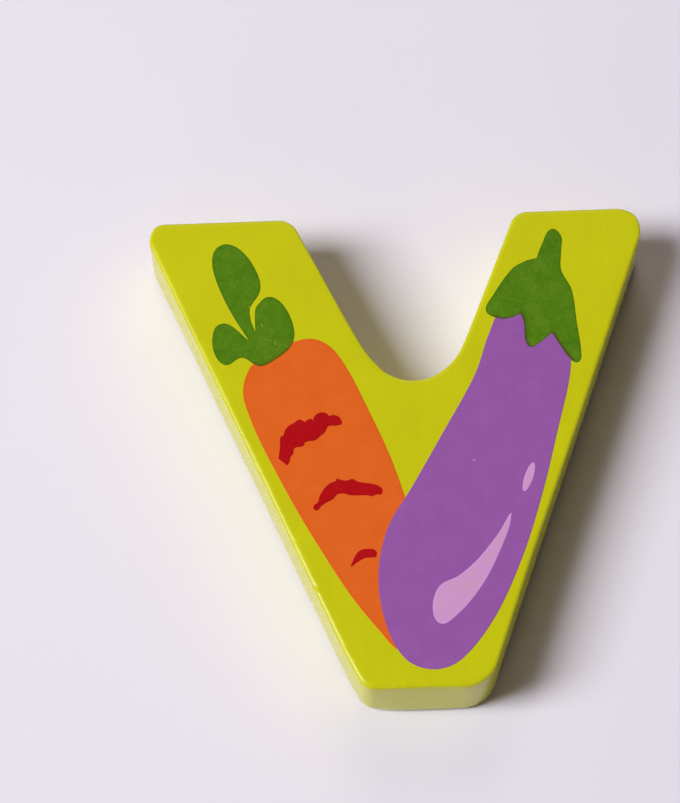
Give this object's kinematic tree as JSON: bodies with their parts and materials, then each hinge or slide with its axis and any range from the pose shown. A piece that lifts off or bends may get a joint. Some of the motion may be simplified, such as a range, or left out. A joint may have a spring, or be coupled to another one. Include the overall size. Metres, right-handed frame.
{
  "type": "wooden letter",
  "caption": "Flat wooden letter V with rounded edges, a printed carrot and aubergine on its lime front, and adhesive foam pads on its back to stick it to a door or wall.",
  "frame": {"origin": "middle of the footprint, on the sticky faces of the foam pads", "axes": "+Z is the printed front's normal, +Y points to the letter's top, +X to its right"},
  "size_m": [0.0848, 0.084, 0.0162],
  "materials": {
    "lime_paint": "wood under satin lime paint",
    "orange_ink": "screen-printed ink",
    "dark_red_ink": "screen-printed ink",
    "green_ink": "screen-printed ink",
    "purple_ink": "screen-printed ink",
    "lilac_ink": "screen-printed ink",
    "white_foam": "white foam tape"
  },
  "bodies": {
    "root": {"letter_blank": "lime_paint", "carrot_root": "orange_ink", "carrot_leaves": "green_ink", "carrot_crease_upper": "dark_red_ink", "carrot_crease_middle": "dark_red_ink", "carrot_crease_lower": "dark_red_ink", "aubergine_body": "purple_ink", "aubergine_calyx": "green_ink", "aubergine_highlight_long": "lilac_ink", "aubergine_highlight_short": "lilac_ink", "left_arm_pad": "white_foam", "right_arm_pad": "white_foam", "foot_pad": "white_foam"}
  },
  "joints": []
}
